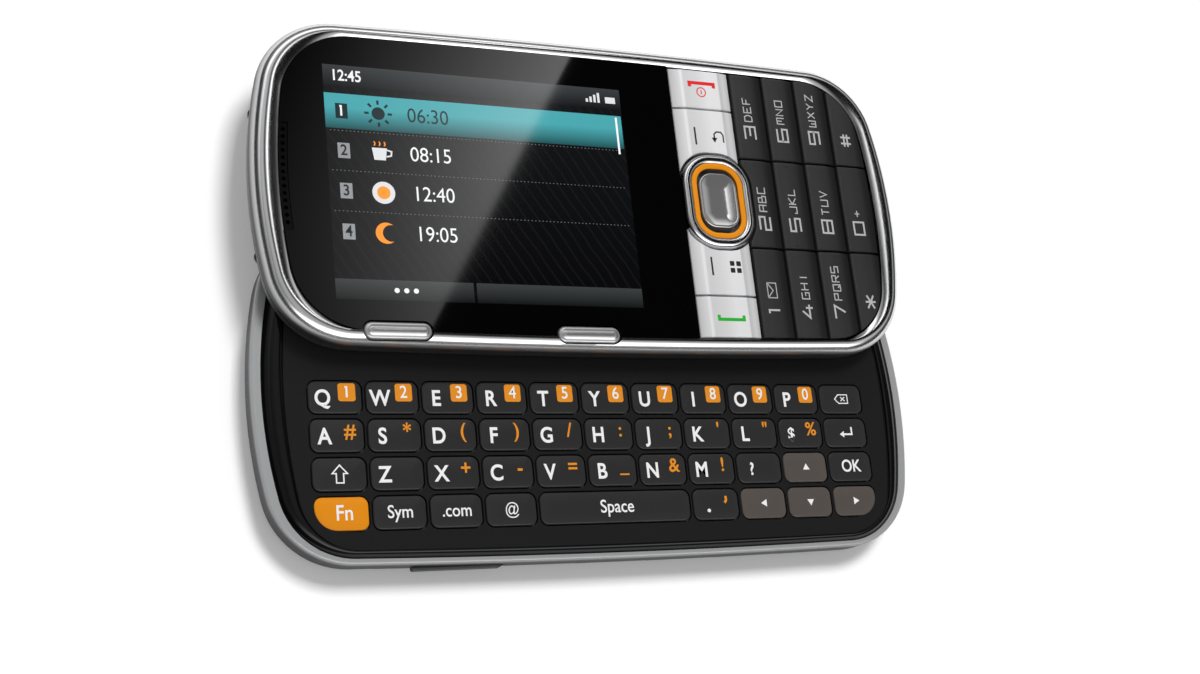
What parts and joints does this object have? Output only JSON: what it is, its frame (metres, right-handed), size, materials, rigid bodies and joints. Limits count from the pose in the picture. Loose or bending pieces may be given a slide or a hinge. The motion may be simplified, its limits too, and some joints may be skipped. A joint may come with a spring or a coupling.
{
  "type": "slider phone",
  "caption": "Sliding phone with a wide screen and number pad over a letter keyboard, lying on its back with its upper half pushed open.",
  "frame": {"origin": "middle of the lower half's flat back", "axes": "+X along the long side towards the number keys, +Y the way the upper half opens, +Z out of the screen"},
  "size_m": [0.113, 0.0852, 0.0143],
  "materials": {
    "silver_paint": "polished bright metal",
    "satin_silver": "satin silver paint",
    "gunmetal": "satin gunmetal paint",
    "dark_plastic": "fine matt",
    "charcoal_plastic": "satin charcoal",
    "gloss_black": "glossy black",
    "clear_window": "glossy smoked clear",
    "screen": "screen face",
    "silver_key": "satin silver key",
    "number_key": "satin charcoal key",
    "letter_key": "satin black key",
    "orange_key": "satin orange key",
    "taupe_key": "satin grey-brown key",
    "silicone": "matt silicone",
    "circuit_board": "green solder mask",
    "steel": "plain steel",
    "gold_contact": "gold-plated",
    "battery_wrap": "grey printed sleeve, bare",
    "flex_film": "amber polyimide film",
    "lens_glass": "clear dark"
  },
  "bodies": {
    "base": {"rear_housing": "dark_plastic", "trim_ring": "satin_silver", "keyboard_frame": "gloss_black", "keyboard_deck": "charcoal_plastic", "keyboard_mat": "silicone", "main_board": "circuit_board", "shield_can": "steel", "battery": "battery_wrap", "battery_contacts": "gold_contact", "camera_module": "dark_plastic", "camera_window": "lens_glass", "loudspeaker": "steel", "vibration_motor": "steel", "microphone": "steel", "usb_socket": "steel", "headset_jack": "dark_plastic", "housing_screws": "steel", "slide_rails": "steel", "flex_cable": "flex_film", "slide_springs": "steel"},
    "display_half": {"slider_rear_cover": "gunmetal", "slider_bezel": "silver_paint", "display_window": "clear_window", "display_panel": "screen", "slider_board": "circuit_board", "keypad_mat": "silicone", "earpiece_grille": "gunmetal", "earpiece_speaker": "dark_plastic", "slide_channels": "steel", "slider_screws": "steel"},
    "battery_cover": {"battery_cover": "dark_plastic"},
    "volume_rocker": {"volume_rocker": "gunmetal"},
    "camera_key": {"camera_key": "gunmetal"},
    "key_row_1": {"key_row_1": "letter_key"},
    "key_row_2": {"key_row_2": "letter_key"},
    "key_row_3": {"key_row_3": "letter_key"},
    "key_row_4": {"key_row_4": "letter_key"},
    "function_key": {"function_key": "orange_key"},
    "space_key": {"space_key": "letter_key"},
    "arrow_keys": {"arrow_keys": "taupe_key"},
    "end_key": {"end_key": "silver_key"},
    "talk_key": {"talk_key": "silver_key"},
    "select_button": {"select_button": "gloss_black"},
    "left_soft_key": {"left_soft_key": "gunmetal"},
    "right_soft_key": {"right_soft_key": "gunmetal"},
    "key_1": {"key_1": "number_key"},
    "key_2": {"key_2": "number_key"},
    "key_3": {"key_3": "number_key"},
    "key_4": {"key_4": "number_key"},
    "key_5": {"key_5": "number_key"},
    "key_6": {"key_6": "number_key"},
    "key_7": {"key_7": "number_key"},
    "key_8": {"key_8": "number_key"},
    "key_9": {"key_9": "number_key"},
    "star_key": {"star_key": "number_key"},
    "key_0": {"key_0": "number_key"},
    "hash_key": {"hash_key": "number_key"},
    "back_rocker": {"back_rocker": "silver_key"},
    "menu_rocker": {"menu_rocker": "silver_key"},
    "navigation_ring": {"navigation_ring": "silver_paint"}
  },
  "joints": [
    {"name": "display_slide", "type": "slide", "parent": "base", "child": "display_half", "axis": [0, 1, 0], "range_m": [-0.0315, 0], "deforming": ["flex_cable", "slide_springs"]},
    {"name": "battery_cover_slide", "type": "slide", "parent": "base", "child": "battery_cover", "axis": [1, 0, 0], "range_m": [0, 0.005]},
    {"name": "volume_rocker_tilt", "type": "hinge", "parent": "base", "child": "volume_rocker", "pos_m": [-0.026, -0.0247, 0.00335], "axis": [0, 0, 1], "range_deg": [-1, 1], "stiffness_Nm_per_rad": 0.05},
    {"name": "camera_key_press", "type": "slide", "parent": "base", "child": "camera_key", "axis": [0, -1, 0], "range_m": [0, 0.0002], "stiffness_N_per_m": 900},
    {"name": "key_row_1_press", "type": "slide", "parent": "base", "child": "key_row_1", "axis": [0, 0, -1], "range_m": [0, 0.00025], "stiffness_N_per_m": 900},
    {"name": "key_row_2_press", "type": "slide", "parent": "base", "child": "key_row_2", "axis": [0, 0, -1], "range_m": [0, 0.00025], "stiffness_N_per_m": 900},
    {"name": "key_row_3_press", "type": "slide", "parent": "base", "child": "key_row_3", "axis": [0, 0, -1], "range_m": [0, 0.00025], "stiffness_N_per_m": 900},
    {"name": "key_row_4_press", "type": "slide", "parent": "base", "child": "key_row_4", "axis": [0, 0, -1], "range_m": [0, 0.00025], "stiffness_N_per_m": 900},
    {"name": "function_key_press", "type": "slide", "parent": "base", "child": "function_key", "axis": [0, 0, -1], "range_m": [0, 0.00025], "stiffness_N_per_m": 900},
    {"name": "space_key_press", "type": "slide", "parent": "base", "child": "space_key", "axis": [0, 0, -1], "range_m": [0, 0.00025], "stiffness_N_per_m": 900},
    {"name": "arrow_keys_press", "type": "slide", "parent": "base", "child": "arrow_keys", "axis": [0, 0, -1], "range_m": [0, 0.00025], "stiffness_N_per_m": 900},
    {"name": "end_key_press", "type": "slide", "parent": "display_half", "child": "end_key", "axis": [0, 0, -1], "range_m": [0, 0.00025], "stiffness_N_per_m": 900},
    {"name": "talk_key_press", "type": "slide", "parent": "display_half", "child": "talk_key", "axis": [0, 0, -1], "range_m": [0, 0.00025], "stiffness_N_per_m": 900},
    {"name": "select_button_press", "type": "slide", "parent": "display_half", "child": "select_button", "axis": [0, 0, -1], "range_m": [0, 0.00025], "stiffness_N_per_m": 900},
    {"name": "left_soft_key_press", "type": "slide", "parent": "display_half", "child": "left_soft_key", "axis": [0, 0, -1], "range_m": [0, 0.00025], "stiffness_N_per_m": 900},
    {"name": "right_soft_key_press", "type": "slide", "parent": "display_half", "child": "right_soft_key", "axis": [0, 0, -1], "range_m": [0, 0.00025], "stiffness_N_per_m": 900},
    {"name": "key_1_press", "type": "slide", "parent": "display_half", "child": "key_1", "axis": [0, 0, -1], "range_m": [0, 0.00025], "stiffness_N_per_m": 900},
    {"name": "key_2_press", "type": "slide", "parent": "display_half", "child": "key_2", "axis": [0, 0, -1], "range_m": [0, 0.00025], "stiffness_N_per_m": 900},
    {"name": "key_3_press", "type": "slide", "parent": "display_half", "child": "key_3", "axis": [0, 0, -1], "range_m": [0, 0.00025], "stiffness_N_per_m": 900},
    {"name": "key_4_press", "type": "slide", "parent": "display_half", "child": "key_4", "axis": [0, 0, -1], "range_m": [0, 0.00025], "stiffness_N_per_m": 900},
    {"name": "key_5_press", "type": "slide", "parent": "display_half", "child": "key_5", "axis": [0, 0, -1], "range_m": [0, 0.00025], "stiffness_N_per_m": 900},
    {"name": "key_6_press", "type": "slide", "parent": "display_half", "child": "key_6", "axis": [0, 0, -1], "range_m": [0, 0.00025], "stiffness_N_per_m": 900},
    {"name": "key_7_press", "type": "slide", "parent": "display_half", "child": "key_7", "axis": [0, 0, -1], "range_m": [0, 0.00025], "stiffness_N_per_m": 900},
    {"name": "key_8_press", "type": "slide", "parent": "display_half", "child": "key_8", "axis": [0, 0, -1], "range_m": [0, 0.00025], "stiffness_N_per_m": 900},
    {"name": "key_9_press", "type": "slide", "parent": "display_half", "child": "key_9", "axis": [0, 0, -1], "range_m": [0, 0.00025], "stiffness_N_per_m": 900},
    {"name": "star_key_press", "type": "slide", "parent": "display_half", "child": "star_key", "axis": [0, 0, -1], "range_m": [0, 0.00025], "stiffness_N_per_m": 900},
    {"name": "key_0_press", "type": "slide", "parent": "display_half", "child": "key_0", "axis": [0, 0, -1], "range_m": [0, 0.00025], "stiffness_N_per_m": 900},
    {"name": "hash_key_press", "type": "slide", "parent": "display_half", "child": "hash_key", "axis": [0, 0, -1], "range_m": [0, 0.00025], "stiffness_N_per_m": 900},
    {"name": "back_rocker_tilt", "type": "hinge", "parent": "display_half", "child": "back_rocker", "pos_m": [0.0207, 0.04165, 0.0125], "axis": [0, 1, 0], "range_deg": [-1.5, 1.5], "stiffness_Nm_per_rad": 0.05},
    {"name": "menu_rocker_tilt", "type": "hinge", "parent": "display_half", "child": "menu_rocker", "pos_m": [0.0207, 0.02065, 0.0125], "axis": [0, 1, 0], "range_deg": [-1.5, 1.5], "stiffness_Nm_per_rad": 0.05},
    {"name": "navigation_ring_tilt", "type": "hinge", "parent": "display_half", "child": "navigation_ring", "pos_m": [0.0214, 0.03115, 0.0123], "axis": [1, 0, 0], "range_deg": [-1, 1], "stiffness_Nm_per_rad": 0.05}
  ]
}
